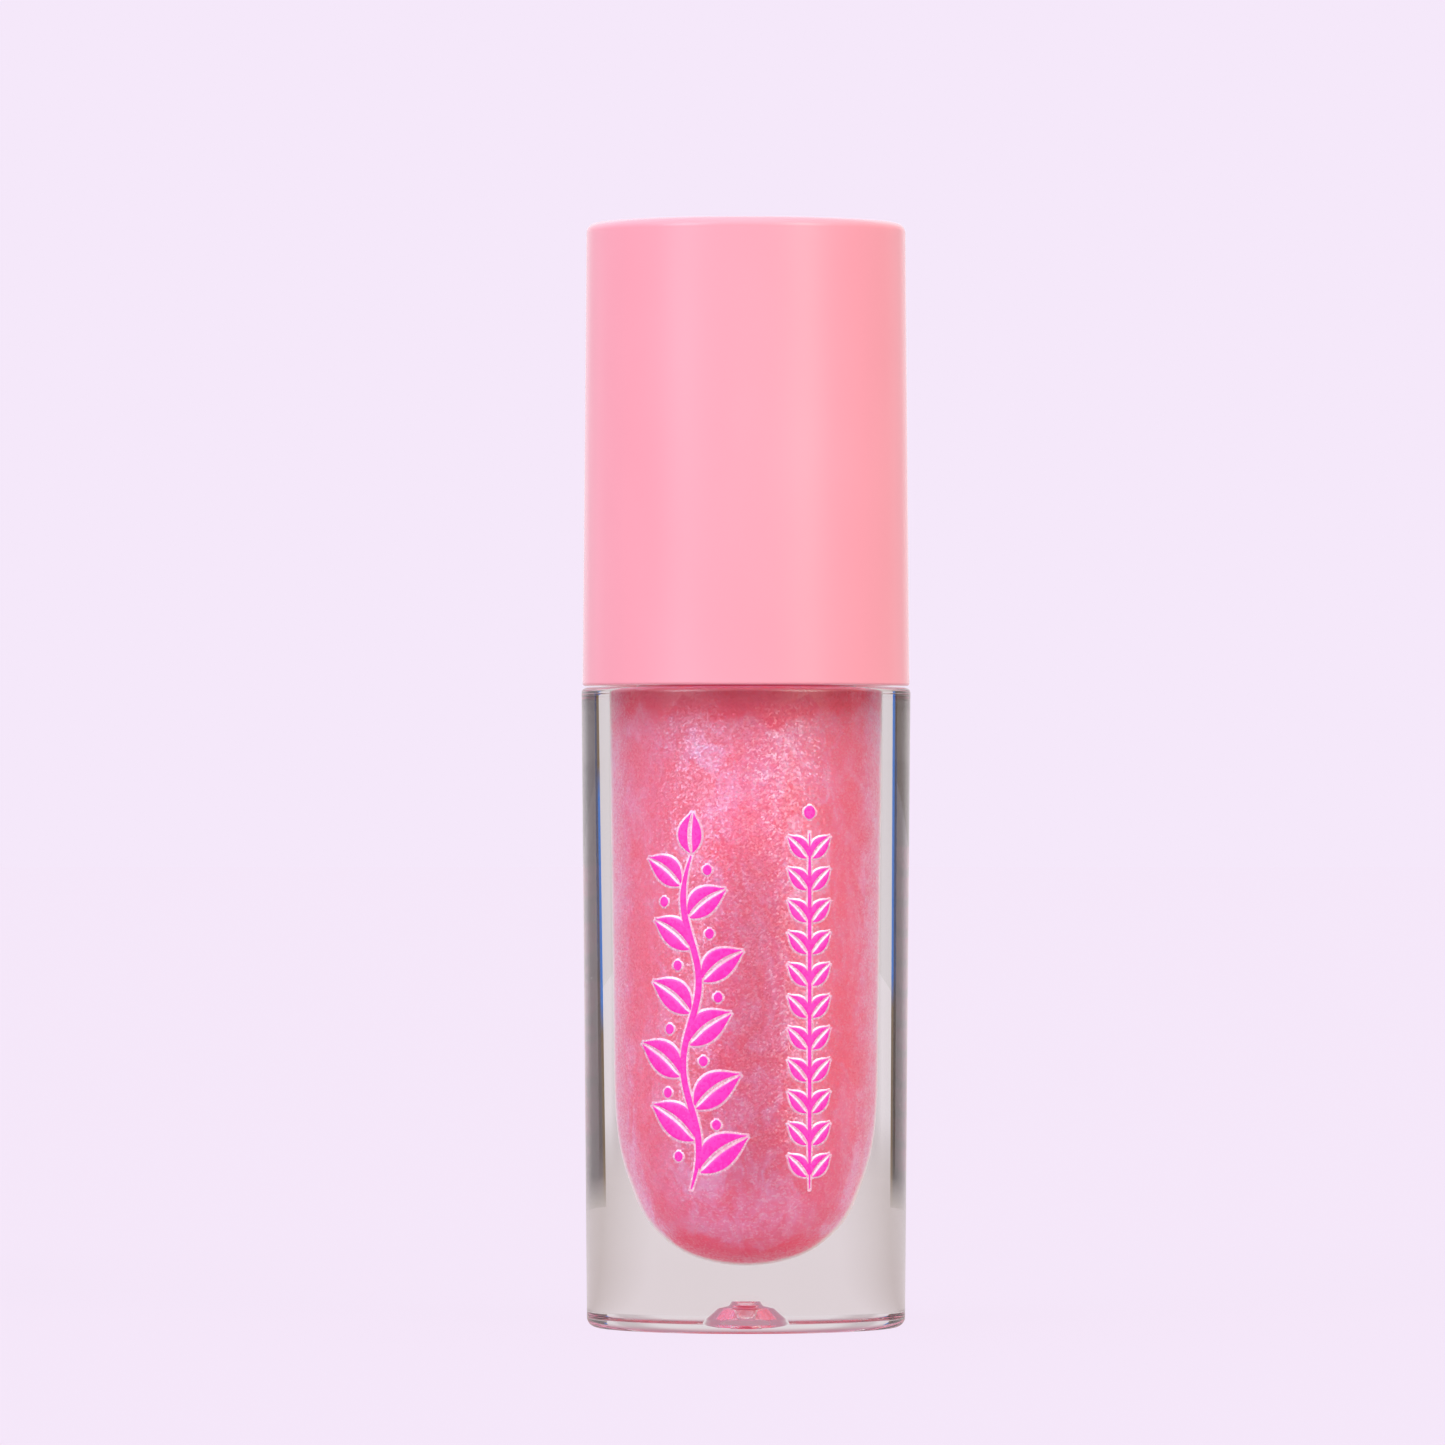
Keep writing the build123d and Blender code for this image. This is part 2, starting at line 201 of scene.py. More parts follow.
class Graph:
    """A node tree with short calls for adding and joining nodes."""

    def __init__(self, tree):
        self.tree = tree
        tree.nodes.clear()

    def add(self, kind, inputs=None, **settings):
        node = self.tree.nodes.new(kind)
        for key, value in settings.items():
            setattr(node, key, value)
        for key, value in (inputs or {}).items():
            if isinstance(value, bpy.types.NodeSocket):
                self.tree.links.new(value, node.inputs[key])
            else:
                node.inputs[key].default_value = value
        return node

    def math(self, operation, a, b=0.0, c=0.0, clamp=False):
        node = self.add("ShaderNodeMath", {0: a, 1: b, 2: c}, operation=operation, use_clamp=clamp)
        return node.outputs[0]

    def vector(self, operation, a, b=(0.0, 0.0, 0.0)):
        node = self.add("ShaderNodeVectorMath", {0: a, 1: b}, operation=operation)
        return node.outputs["Value" if operation == "DOT_PRODUCT" else "Vector"]

    def scaled(self, vector, factor):
        node = self.add("ShaderNodeVectorMath", {0: vector, 3: factor}, operation="SCALE")
        return node.outputs["Vector"]

    def ramp(self, factor, *stops):
        """A colour ramp of (position, colour) stops; a number is a grey."""
        node = self.add("ShaderNodeValToRGB", {0: factor})
        elements = node.color_ramp.elements
        while len(elements) < len(stops):
            elements.new(0.5)
        for element, (position, colour) in zip(elements, stops):
            element.position = position
            element.color = colour if isinstance(colour, tuple) else (colour,) * 3 + (1,)
        return node.outputs[0]

    def range(self, value, low, high, to_low=0.0, to_high=1.0, smooth=False):
        node = self.add(
            "ShaderNodeMapRange",
            {0: value, 1: low, 2: high, 3: to_low, 4: to_high},
            interpolation_type="SMOOTHSTEP" if smooth else "LINEAR",
        )
        return node.outputs[0]

    def mix(self, factor, a, b):
        node = self.add("ShaderNodeMix", {0: factor, 6: a, 7: b}, data_type="RGBA")
        return node.outputs[2]

    def place(self, stretch=(1, 1, 1)):
        """Object coordinates in millimetres, divided by stretch."""
        coordinates = self.add("ShaderNodeTexCoord").outputs["Object"]
        scale = tuple(1 / (MM * s) for s in stretch)
        return self.add("ShaderNodeMapping", {"Vector": coordinates, "Scale": scale}).outputs[0]

    def noise(self, vector, size_mm, detail=2.0, roughness=0.5, distortion=0.0):
        return self.add(
            "ShaderNodeTexNoise",
            {
                "Vector": vector,
                "Scale": 1 / size_mm,
                "Detail": detail,
                "Roughness": roughness,
                "Distortion": distortion,
            },
        )

    def bump(self, height, depth_mm, strength):
        inputs = {"Height": height, "Distance": depth_mm * MM, "Strength": strength}
        return self.add("ShaderNodeBump", inputs).outputs[0]

    def blurred(self, path):
        """1 on a rough surface's reflected rays and 0 on others, from a Light Path's outputs."""
        return self.math("SUBTRACT", path["Is Glossy Ray"], path["Is Singular Ray"], clamp=True)

    def principled(self, **inputs):
        """A Principled shader as the surface; underscores in names stand for spaces."""
        named = {key.replace("_", " "): value for key, value in inputs.items()}
        self.show(self.add("ShaderNodeBsdfPrincipled", named).outputs[0])

    def show(self, shader):
        self.add("ShaderNodeOutputMaterial", {"Surface": shader})


def new_material(name):
    material = bpy.data.materials.new(name)
    material.use_nodes = True
    return material, Graph(material.node_tree)


def srgb(red, green, blue):
    """A linear colour from display values between 0 and 255."""
    scaled = [c / 255 for c in (red, green, blue)]
    linear = [c / 12.92 if c <= 0.04045 else ((c + 0.055) / 1.055) ** 2.4 for c in scaled]
    return (*linear, 1.0)


# ---- materials ---------------------------------------------------------------


def clear_plastic():
    """Polished thick PETG: faint moulding flow in the tint and hairline handling marks.

    Rays that carry light to what is inside pass straight through, so that the gloss is lit.
    """
    material, g = new_material("clear_plastic")
    place = g.place((1, 1, 4))
    flow = g.noise(place, 5.0, 2.0).outputs[0]
    tint = g.ramp(flow, (0.3, (0.965, 0.97, 0.95, 1)), (0.7, (0.985, 0.99, 0.975, 1)))
    marks = g.noise(g.place((1.5, 1.5, 0.6)), 0.5, 4.0, 0.7).outputs[0]
    rough = g.range(marks, 0.66, 0.85, 0.0, 0.012)
    glass = g.add(
        "ShaderNodeBsdfPrincipled",
        {
            "Base Color": tint,
            "Roughness": rough,
            "IOR": 1.57,
            "Transmission Weight": 1.0,
        },
    )
    straight = g.add("ShaderNodeBsdfTransparent", {"Color": (1.0, 1.0, 0.99, 1)})
    path = g.add("ShaderNodeLightPath").outputs
    scattered = g.math("MAXIMUM", path["Is Diffuse Ray"], g.blurred(path))
    lighting = g.math("MAXIMUM", path["Is Shadow Ray"], scattered)
    mixed = g.add("ShaderNodeMixShader", {0: lighting, 1: glass.outputs[0], 2: straight.outputs[0]})
    g.show(mixed.outputs[0])
    return material


# The gloss: its flakes, its colours, and pairs of heights in mm where a change starts and ends.
FLAKE = 0.11
FLAKE_TILT = 0.42
DEEP_PEARL = srgb(252, 72, 112)
MID_PEARL = srgb(253, 97, 146)
PALE_PEARL = srgb(254, 148, 196)
# Painted glint: the paler colour of random flakes.
PAINTED_GLINT = srgb(255, 190, 215)
# Painted dark reflection, where the pearl faces half away towards the dark sides.
PAINTED_DARK_REFLECTION = srgb(253, 56, 98)
# Painted shade: the deep colour mixed in under the shoulder and at the bottom.
PAINTED_SHADE_GLOSS = srgb(255, 14, 80)
# Painted sheen: paler at the sides.
PAINTED_SHEEN_PEARL = srgb(255, 150, 186)
# Painted highlight: a cream line along the edge.
PAINTED_HIGHLIGHT_PEARL = srgb(252, 226, 218)
SETTLING = (17.0, 9.0)
# Heights of the painted shade: the band under the shoulder, and the darker bottom.
PAINTED_SHADE_FROM = (41.6, 42.9)
PAINTED_SHADE_UP_TO = (45.4, 46.4)
PAINTED_SHADE_BELOW = (8.1, 6.7)
BAND_SWAY = 3.5
BAND_RAGGEDNESS = 2.6
# Heights over which the painted sheen fades in and the painted edge highlight widens downwards.
PAINTED_SHEEN_FROM = (5.0, 12.0)
PAINTED_HIGHLIGHT_WIDENS = (13.0, 7.0)


def gloss_flow(g):
    """The gloss's fine swirls, 0 to 1, and the broad sway of its painted shade, in mm up or down."""
    place = g.place((1, 1, 1.8))
    drift = g.noise(place, 5.0, 3.0, 0.6).outputs["Color"]
    drifted = g.vector("ADD", place, g.vector("MULTIPLY", drift, (6.0,) * 3))
    swirl = g.noise(drifted, 1.9, 7.0, 0.68, 0.5).outputs[0]
    waver = g.add("ShaderNodeSeparateXYZ", {0: drift}).outputs[1]
    return swirl, g.range(waver, 0.0, 1.0, -BAND_SWAY, BAND_SWAY)


def pearl_colour(g, veil, flakes):
    """Deep to pale rose with the veils, and a painted glint: paler colour on random flakes."""
    # Painted glints on random flakes, stronger where the veil is pale.
    glint = g.range(g.add("ShaderNodeSeparateXYZ", {0: flakes}).outputs[0], 0.6, 1.0, 0.0, 0.6)
    painted_glints = g.math("MULTIPLY", glint, g.range(veil, 0.0, 0.8, 0.35, 1.0))
    veiled = g.ramp(veil, (0.1, DEEP_PEARL), (0.5, MID_PEARL), (1.0, PALE_PEARL))
    return g.mix(painted_glints, veiled, PAINTED_GLINT)


def painted_shade_share(g, ragged_height):
    """Share of painted shade: under the shoulder, where the cap shades it, and at the very bottom."""
    band = g.math(
        "MULTIPLY",
        g.range(ragged_height, *PAINTED_SHADE_FROM, 0.0, 0.95, smooth=True),
        g.range(ragged_height, *PAINTED_SHADE_UP_TO, 1.0, 0.15, smooth=True),
    )
    return g.math("MAXIMUM", band, g.range(ragged_height, *PAINTED_SHADE_BELOW, 0.0, 0.8, smooth=True))


def pearl_with_painted_light(g, pearl, bare, height):
    """Painted light as it turns away: a dark reflection, a paler sheen, a cream edge highlight."""
    facing = g.add("ShaderNodeLayerWeight", {"Blend": 0.5}).outputs["Facing"]
    # turned: painted dark reflection at mid angles.
    turned = g.math(
        "MULTIPLY",
        g.range(facing, 0.12, 0.36, 0.0, 0.42, smooth=True),
        g.range(facing, 0.42, 0.56, 1.0, 0.0, smooth=True),
    )
    # Painted sheen: paler at the sides, fading out towards the bottom.
    sheen_share = g.math(
        "MULTIPLY",
        g.range(facing, 0.46, 0.68, 0.0, 0.55, smooth=True),
        g.range(height, *PAINTED_SHEEN_FROM, smooth=True),
    )
    # edge: painted highlight at the silhouette, wider towards the bottom.
    edge = g.math("ADD", facing, g.range(height, *PAINTED_HIGHLIGHT_WIDENS, 0.0, 0.1, smooth=True))
    # bare is the share of painted shade, under the shoulder and at the bottom.
    body = g.mix(bare, g.mix(turned, pearl, PAINTED_DARK_REFLECTION), PAINTED_SHADE_GLOSS)
    with_painted_sheen = g.mix(sheen_share, body, PAINTED_SHEEN_PEARL)
    return g.mix(g.range(edge, 0.80, 0.92), with_painted_sheen, PAINTED_HIGHLIGHT_PEARL)


def lip_gloss():
    """Pearly rose gloss: slow swirls, pale pearl veils and flakes that each tilt a little.

    Painted shade: deeper rose, with less pearl shine, under the shoulder and at the very bottom.
    """
    material, g = new_material("lip_gloss")
    swirl, sway = gloss_flow(g)
    height = g.add("ShaderNodeSeparateXYZ", {0: g.place()}).outputs[2]
    settled = g.range(height, *SETTLING, 0.0, 0.07, smooth=True)
    veil = g.range(g.math("ADD", swirl, settled), 0.33, 0.74, smooth=True)
    flakes = g.add("ShaderNodeTexVoronoi", {"Vector": g.place(), "Scale": 1 / FLAKE}).outputs["Color"]
    ragged_height = g.math("ADD", g.math("MULTIPLY_ADD", swirl, BAND_RAGGEDNESS, height), sway)
    # bare: painted shade under the shoulder and at the bottom, with ragged wavy edges.
    bare = painted_shade_share(g, ragged_height)
    tilt = g.vector("MULTIPLY", g.vector("SUBTRACT", flakes, (0.5,) * 3), (FLAKE_TILT,) * 3)
    surface = g.add("ShaderNodeNewGeometry").outputs["Normal"]
    g.principled(
        Base_Color=pearl_with_painted_light(g, pearl_colour(g, veil, flakes), bare, height),
        Roughness=g.range(veil, 0.0, 1.0, 0.40, 0.32),
        Normal=g.vector("NORMALIZE", g.vector("ADD", surface, tilt)),
        # In the painted shade the pearl also shines less: lower IOR here, less sheen below.
        IOR=g.range(bare, 0.0, 1.0, 2.5, 2.0),
        Specular_Tint=(0.55, 0.8, 1.0, 1.0),
        Subsurface_Weight=0.6,
        Subsurface_Radius=(3.4, 0.25, 0.35),
        Subsurface_Scale=MM,
        Sheen_Weight=g.range(bare, 0.0, 1.0, 0.6, 0.2),
        Sheen_Roughness=0.35,
        Sheen_Tint=(1.0, 0.85, 1.0, 1.0),
    )
    return material


def pink_cap():
    """Polished pink ABS: soft tone drift, orange-peel as small as moulding leaves, hairlines."""
    material, g = new_material("pink_cap")
    tone = g.noise(g.place((1, 1, 2)), 9.0, 2.0).outputs[0]
    colour = g.ramp(tone, (0.3, srgb(245, 161, 177)), (0.7, srgb(248, 166, 182)))
    peel = g.noise(g.place(), 1.4, 3.0).outputs[0]
    hairlines = g.noise(g.place((7, 7, 0.4)), 0.6, 5.0, 0.75).outputs[0]
    rough = g.range(hairlines, 0.5, 0.85, 0.13, 0.26)
    g.principled(
        Base_Color=colour,
        Roughness=rough,
        IOR=1.42,
        Normal=g.bump(peel, 0.004, 0.5),
    )
    return material


def print_ink():
    """Raised hot-pink print: slightly uneven ink with a glossy skin."""
    material, g = new_material("print_ink")
    uneven = g.noise(g.place(), 0.35, 3.0).outputs[0]
    colour = g.ramp(uneven, (0.3, srgb(248, 36, 178)), (0.75, srgb(254, 58, 194)))
    g.principled(
        Base_Color=colour,
        Roughness=g.range(uneven, 0.3, 0.7, 0.22, 0.34),
        Normal=g.bump(uneven, 0.01, 0.4),
    )
    return material


def print_rim_painted_highlight():
    """The print's embossed rim; its pale colour is a painted highlight, with some real shine."""
    material, g = new_material("print_rim_painted_highlight")
    uneven = g.noise(g.place(), 0.25, 3.0).outputs[0]
    # Painted highlight: the pale colour of the rim along the print's edges.
    colour = g.ramp(uneven, (0.3, srgb(238, 168, 200)), (0.75, srgb(252, 214, 232)))
    g.principled(
        Base_Color=colour,
        Metallic=0.35,
        Roughness=g.range(uneven, 0.3, 0.7, 0.2, 0.32),
        Normal=g.bump(uneven, 0.008, 0.4),
    )
    return material


def moulded(name, colour, roughness, haze=0.0):
    """Natural moulded plastic in one colour, with a fine texture and uneven tone."""
    material, g = new_material(name)
    tone = g.noise(g.place(), 3.0, 3.0).outputs[0]
    darker = tuple(c * 0.9 for c in colour[:3]) + (1,)
    texture = g.noise(g.place(), 0.12, 2.0).outputs[0]
    g.principled(
        Base_Color=g.ramp(tone, (0.3, darker), (0.7, colour)),
        Roughness=g.range(tone, 0.3, 0.7, roughness - 0.06, roughness + 0.06),
        Normal=g.bump(texture, 0.01, 0.3),
        Subsurface_Weight=haze,
        Subsurface_Radius=(1.0, 0.9, 0.85),
        Subsurface_Scale=MM,
    )
    return material


FILM_BELOW = (50.0, 44.0)


def coated_stem():
    """Natural acetal, with a film of gloss left below the wiper."""
    material, g = new_material("coated_stem")
    place = g.place()
    height = g.add("ShaderNodeSeparateXYZ", {0: place}).outputs[2]
    smear = g.noise(g.place((1, 1, 4)), 1.2, 4.0, 0.6).outputs[0]
    wavy = g.math("ADD", height, g.math("MULTIPLY", smear, 6.0))
    film = g.range(wavy, *FILM_BELOW, 0.0, 1.0, smooth=True)
    patchy = g.math("MULTIPLY", film, g.range(smear, 0.3, 0.65, 0.35, 0.85))
    colour = g.mix(patchy, srgb(238, 232, 230), srgb(226, 118, 140))
    g.principled(
        Base_Color=colour,
        Roughness=g.range(film, 0.0, 1.0, 0.35, 0.14),
        Normal=g.bump(smear, 0.05, 0.35),
        Subsurface_Weight=0.25,
        Subsurface_Radius=(1.0, 0.8, 0.8),
        Subsurface_Scale=MM,
    )
    return material


def flocked():
    """Short flock soaked with gloss: clumped, wet and pearly."""
    material, g = new_material("flocked")
    clump = g.noise(g.place(), 0.9, 4.0, 0.6).outputs[0]
    fibres = g.noise(g.place(), 0.14, 3.0, 0.7).outputs[0]
    colour = g.ramp(clump, (0.3, srgb(204, 82, 108)), (0.7, srgb(232, 134, 158)))
    g.principled(
        Base_Color=colour,
        Roughness=g.range(clump, 0.3, 0.7, 0.22, 0.4),
        Normal=g.bump(fibres, 0.08, 0.6),
        Coat_Weight=0.6,
        Coat_Roughness=0.12,
        Sheen_Weight=0.2,
    )
    return material


# ---- bottle and gloss --------------------------------------------------------


def bore_curve():
    """The bore's wall from the middle of its floor up to the end of its taper."""
    floor = BORE_FLOOR_Z
    bowl = [(0, floor), (2.43, floor + 0.73), (3.98, floor + 2.54), (4.96, floor + 5.6)]
    return hermite([*bowl, BORE_TAPER_TOP], (1, 0), (0.012, 1))


def thread_swell(r, z, angles):
    """How far the neck's thread stands out at that height, for each angle."""
    if abs(r - NECK_R) > 1e-6:
        return 0.0
    swell = np.zeros_like(angles)
    for start in range(THREAD_STARTS):
        along = (angles / (2 * math.pi) - start / THREAD_STARTS) % 1.0
        away = np.abs(z - THREAD_BOTTOM_Z - THREAD_LEAD * along)
        flank = np.clip((THREAD_HALF_ROOT - away) / (THREAD_HALF_ROOT - THREAD_HALF_CREST), 0, 1)
        ends = np.clip(np.minimum(along, THREAD_TURNS - along) / THREAD_RUNOUT_TURNS, 0, 1)
        soft = (flank * flank * (3 - 2 * flank)) * (ends * ends * (3 - 2 * ends))
        swell = np.maximum(swell, THREAD_HEIGHT * soft)
    return swell


def make_bottle():
    """The clear bottle: gate recess, rounded base and shoulder, threaded neck and bore."""
    body = rounded(
        [
            *GATE_RECESS,
            (GATE_RECESS_R, 0, 0.12),
            (BASE_R, 0, 0.65),
            (SHOULDER_R, SHOULDER_Z, 0.35),
            (NECK_R, SHOULDER_Z, 0.4),
            (NECK_R, SHOULDER_Z + 1, 0),
        ]
    )
    thread_rows = [(NECK_R, z) for z in np.arange(SHOULDER_Z + 1.1, NECK_TOP_Z - 0.3, 0.1)]
    lip = rounded(
        [
            (NECK_R, NECK_TOP_Z - 0.5, 0),
            (NECK_R, NECK_TOP_Z, 0.25),
            (BORE_R, NECK_TOP_Z, 0.15),
            (BORE_R, NECK_TOP_Z - 7.5, 0),
        ]
    )
    bore = [(BORE_R, SHOULDER_Z), *reversed(bore_curve())]
    shape = lathe([*body, *thread_rows, *lip[1:], *bore], swell=thread_swell)
    piece("bottle_clear", shape, clear_plastic(), BOTTLE_BODY, ["bottle"])


def make_gloss():
    """The gloss, touching the bore all over, with a small meniscus at its top."""
    out = GLOSS_CONTACT
    wall = [(r + out * min(1, r), z - out * (r < 4)) for r, z in bore_curve()]
    top_r = BORE_R + out
    wall.append((top_r, SHOULDER_Z))
    meniscus = [
        (top_r, GLOSS_TOP_Z + 0.4),
        (BORE_R - 0.35, GLOSS_TOP_Z + 0.08),
        (BORE_R - 1.0, GLOSS_TOP_Z),
    ]
    shape = lathe([(0, wall[0][1]), *wall[1:], *meniscus, (0, GLOSS_TOP_Z)])
    piece("gloss_fill", shape, lip_gloss(), BOTTLE_BODY, ["gloss"])


# ---- cap ---------------------------------------------------------------------


def make_overcap():
    """The pink overcap as a turned shell with a crisp rim and a softly rounded top edge."""
    outline = rounded(
        [
            (0, CEILING_Z, 0),
            (CEILING_R, CEILING_Z, 0.4),
            (CEILING_R, INNER_CAP_TOP_Z + 0.6, 0),
            (OVERCAP_BORE_R, INNER_CAP_TOP_Z + 0.1, 0),
            (OVERCAP_BORE_R, OVERCAP_BOTTOM_Z + 0.3, 0),
            (OVERCAP_BORE_R + 0.3, OVERCAP_BOTTOM_Z, 0.05),
            (OVERCAP_BOTTOM_R, OVERCAP_BOTTOM_Z, 0.18),
            (OVERCAP_TOP_R, OVERCAP_TOP_Z, 0.6),
            (0, OVERCAP_TOP_Z, 0),
        ]
    )
    piece("overcap_shell", lathe(outline), pink_cap(), CAP_BODY, ["overcap"])


# ---- printed decoration ------------------------------------------------------

PRINT_SUNK = -0.02
RIM_RISE = 0.022
INK_RISE = 0.045
RIM_MARGIN = 0.11
THINNEST_STROKE = 0.03
SPRIG_BOTTOM = 9.5
LEAF_STEP = 2.1


def outer_radius(z):
    """The bottle's outer radius at that height."""
    return BASE_R + (SHOULDER_R - BASE_R) * z / SHOULDER_Z


def ribbon(centre, half_width, top, across=5, margin=0.0):
    """A raised stroke on the bottle: centre is (s, z) points in mm, s round the front.

    half_width gives the stroke's half width at each point, top its rise above the wall at the
    middle, and margin widens it all round.
    """
    centre = np.array(centre, float)
    heading = np.gradient(centre, axis=0)
    heading /= np.linalg.norm(heading, axis=1)[:, None]
    side = np.stack([-heading[:, 1], heading[:, 0]], axis=1)
    if margin:
        centre[0] -= heading[0] * margin
        centre[-1] += heading[-1] * margin
    half = np.array(half_width, float) + margin
    rows = 2 * across + 1
    verts, faces = [], []
    count = len(centre)

    def on_bottle(point, rise):
        radius = outer_radius(point[1]) + rise
        angle = point[0] / outer_radius(point[1])
        return (radius * math.sin(angle) * MM, -radius * math.cos(angle) * MM, point[1] * MM)

    for upper in (True, False):
        for i in range(count):
            for k in range(rows):
                v = (k - across) / across
                edge = abs(v) ** 5
                end = abs(2 * i / (count - 1) - 1) ** 14
                rise = top * (1 - max(edge, end)) if upper else PRINT_SUNK
                verts.append(on_bottle(centre[i] + side[i] * half[i] * v, rise))
    per_layer = count * rows

    def quad(*corners):
        faces.append([layer * per_layer + i * rows + k for layer, i, k in corners])

    for layer in range(2):
        for i in range(count - 1):
            for k in range(rows - 1):
                quad((layer, i, k), (layer, i + 1, k), (layer, i + 1, k + 1), (layer, i, k + 1))
    for i in range(count - 1):
        for k in (0, rows - 1):
            quad((0, i, k), (0, i + 1, k), (1, i + 1, k), (1, i, k))
    for k in range(rows - 1):
        for i in (0, count - 1):
            quad((0, i, k), (0, i, k + 1), (1, i, k + 1), (1, i, k))
    return verts, faces


def leaf(root, angle_deg, length, width, bend=0.25, points=15):
    """A leaf in two lobes either side of a bare midrib, as two tapered strokes."""
    angle = math.radians(angle_deg)
    ahead = np.array((math.cos(angle), math.sin(angle)))
    left = np.array((-ahead[1], ahead[0]))
    strokes = []
    for side in (-1, 1):
        line, widths = [], []
        for i in range(points):
            t = i / (points - 1)
            bulge = math.sin(math.pi * t**0.85)
            arc = bend * length * math.sin(math.pi * t) * 0.25
            offset = side * (0.06 + 0.27 * width * bulge) + arc
            line.append(np.array(root) + ahead * length * t + left * offset)
            widths.append(max(THINNEST_STROKE, 0.25 * width * bulge - 0.02))
        strokes.append((line, widths))
    return strokes


def dot(centre, radius, points=13):
    """A round dot as one short stroke."""
    line, widths = [], []
    for i in range(points):
        t = -math.cos(math.pi * i / (points - 1))
        line.append((centre[0], centre[1] + radius * t))
        widths.append(max(THINNEST_STROKE, radius * math.sqrt(max(0.0, 1 - t * t))))
    return [(line, widths)]


def stroke(points, width):
    """A line with pointed ends."""
    count = len(points)
    widths = [width / 2 * min(1.0, 0.25 + 6 * min(i, count - 1 - i) / count) for i in range(count)]
    return [(points, widths)]


def large_sprig():
    """A wavy branch with alternating leaves and berries, on the left of the front."""
    strokes = []
    low, high, middle = SPRIG_BOTTOM, 31.6, -3.7

    def stem_at(z):
        return middle + 0.55 * math.sin((z - low) * 2 * math.pi / 11.0)

    strokes += stroke([(stem_at(z), z) for z in np.linspace(low, high, 60)], 0.5)
    for i in range(10):
        z = low + 1.2 + i * LEAF_STEP
        side = -1 if i % 2 else 1
        root = (stem_at(z) + side * 0.24, z)
        strokes += leaf(root, 90 - side * 54, 4.0 - 0.11 * i, 2.15 - 0.05 * i, bend=0.3 * side)
        strokes += dot((stem_at(z + 1.0) - side * 1.4, z + 1.0), 0.34)
    strokes += leaf((stem_at(high), high + 0.1), 88, 2.7, 1.6)
    return strokes


def small_sprig():
    """A slim straight spray of paired leaflets under a bead, on the right of the front."""
    strokes = []
    low, high, middle = SPRIG_BOTTOM, 34.4, 4.3
    strokes += stroke([(middle, z) for z in np.linspace(low, high - 1.3, 40)], 0.3)
    for i in range(11):
        z = low + 0.9 + i * LEAF_STEP
        for side in (-1, 1):
            strokes += leaf((middle + side * 0.14, z), 90 - side * 44, 1.95, 1.1, bend=0.2 * side)
    strokes += dot((middle, high), 0.45)
    return strokes


def make_print():
    """The decoration: embossed rims, pale as a painted highlight, with hot-pink ink standing on them."""
    strokes = large_sprig() + small_sprig()
    rims = [ribbon(line, widths, RIM_RISE, margin=RIM_MARGIN) for line, widths in strokes]
    inks = [ribbon(line, widths, INK_RISE) for line, widths in strokes]
    piece("print_rim", merged(*rims), print_rim_painted_highlight(), BOTTLE_BODY, sharp_deg=60)
    piece("print_ink", merged(*inks), print_ink(), BOTTLE_BODY, sharp_deg=60)


# ---- materials on the CAD nodes that stay ------------------------------------


def dress(node, material):
    """Gives a CAD node its material; its shading stays as packed."""
    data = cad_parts[node].data
    data.materials.clear()
    data.materials.append(material)


def dress_cad_nodes():
    """Materials for the nodes that keep their CAD mesh."""
    dress("wiper", moulded("wiper_plastic", srgb(238, 234, 234), 0.4, 0.3))
    dress("gasket", moulded("gasket_foam", srgb(244, 242, 240), 0.7, 0.2))
    dress("inner_cap", moulded("inner_cap_plastic", srgb(240, 236, 235), 0.38, 0.25))
    dress("tip_core", moulded("tip_plastic", srgb(236, 230, 228), 0.45, 0.2))
    dress("stem", coated_stem())
    dress("flocking", flocked())


# ---- flock fibres ------------------------------------------------------------

FIBRES_PER_MM2 = 24
FIBRE_LENGTH = 0.30
FIBRE_HALF_WIDTH = 0.022
FIBRE_ROOT_DEPTH = 0.05
FIBRE_SEED = 11
CLUMP_LEAN = 0.35
STRAY_LEAN = 0.25
TIP_LEAN = (0, 0, -0.5)
FIBRE_LEAN = 0.8


def outer_triangles(sleeve):
    """The sleeve's triangles in mm: corners a, b and c, normals, and areas, 0 on the inside."""
    bpy.context.view_layer.update()
    place = sleeve.matrix_world
    points = np.array([place @ v.co for v in sleeve.data.vertices]) / MM
    sleeve.data.calc_loop_triangles()
    corners = np.array([t.vertices for t in sleeve.data.loop_triangles])
    a, b, c = (points[corners[:, k]] for k in range(3))
    normal = np.cross(b - a, c - a)
    area = np.linalg.norm(normal, axis=1) / 2
    normal = normal / np.maximum(2 * area, 1e-9)[:, None]
    middle = (a + b + c) / 3
    outward = middle * (1, 1, 0)
    outward[:, 2] = np.minimum(0, middle[:, 2] - (points[:, 2].min() + 1.0))
    outside = np.einsum("ij,ij->i", normal, outward) > 0
    return a, b, c, normal, np.where(outside, area, 0.0)


